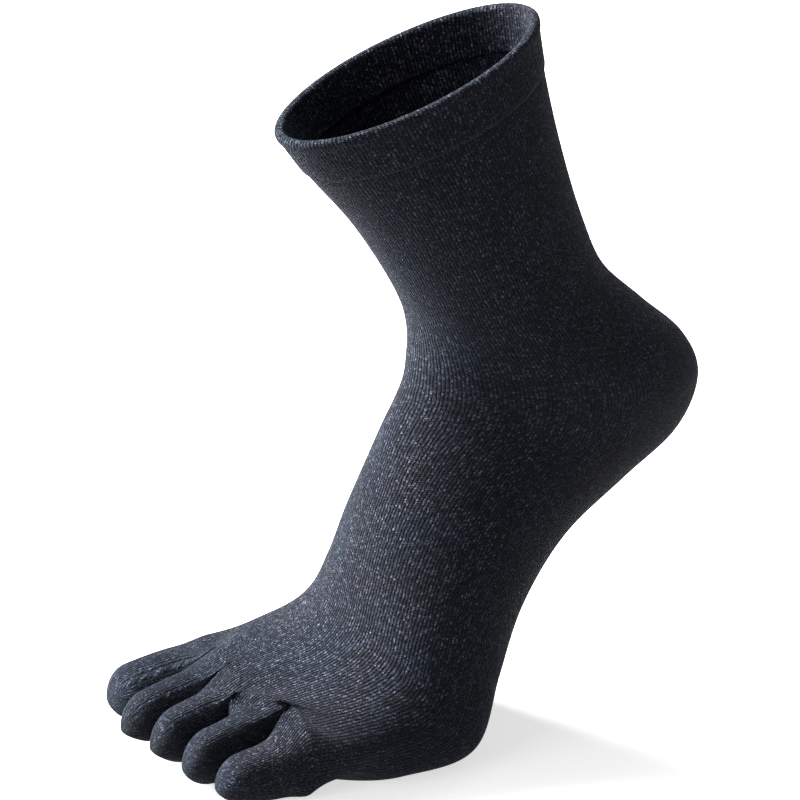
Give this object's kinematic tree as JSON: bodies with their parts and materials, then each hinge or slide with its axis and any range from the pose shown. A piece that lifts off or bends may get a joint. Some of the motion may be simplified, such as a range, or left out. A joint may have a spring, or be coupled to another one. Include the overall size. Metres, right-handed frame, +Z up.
{
  "type": "five-toe ankle sock",
  "caption": "Dark knitted ankle sock for a left foot with a separate tube for each toe, shaped as on a foot standing on tiptoe, hollow and open at the mouth.",
  "frame": {"origin": "centre of the sock's mouth, where a leg fills it and holds the sock up", "axes": "+Z up, the toes towards -Y and the little toe on the +X side, as on a foot standing on tiptoe"},
  "size_m": [0.0944, 0.1988, 0.2408],
  "materials": {
    "welt": "matt fine jersey knit, heather charcoal navy",
    "leg": "matt fine jersey knit, heather charcoal navy",
    "heel": "matt fine jersey knit, heather charcoal navy",
    "foot": "matt fine jersey knit, heather charcoal navy",
    "big_toe": "matt fine jersey knit, heather charcoal navy",
    "second_toe": "matt fine jersey knit, heather charcoal navy",
    "third_toe": "matt fine jersey knit, heather charcoal navy",
    "fourth_toe": "matt fine jersey knit, heather charcoal navy",
    "little_toe": "matt fine jersey knit, heather charcoal navy"
  },
  "bodies": {
    "root": {"welt": "welt", "leg": "leg", "heel": "heel", "foot": "foot", "big_toe": "big_toe", "second_toe": "second_toe", "third_toe": "third_toe", "fourth_toe": "fourth_toe", "little_toe": "little_toe"}
  },
  "joints": []
}
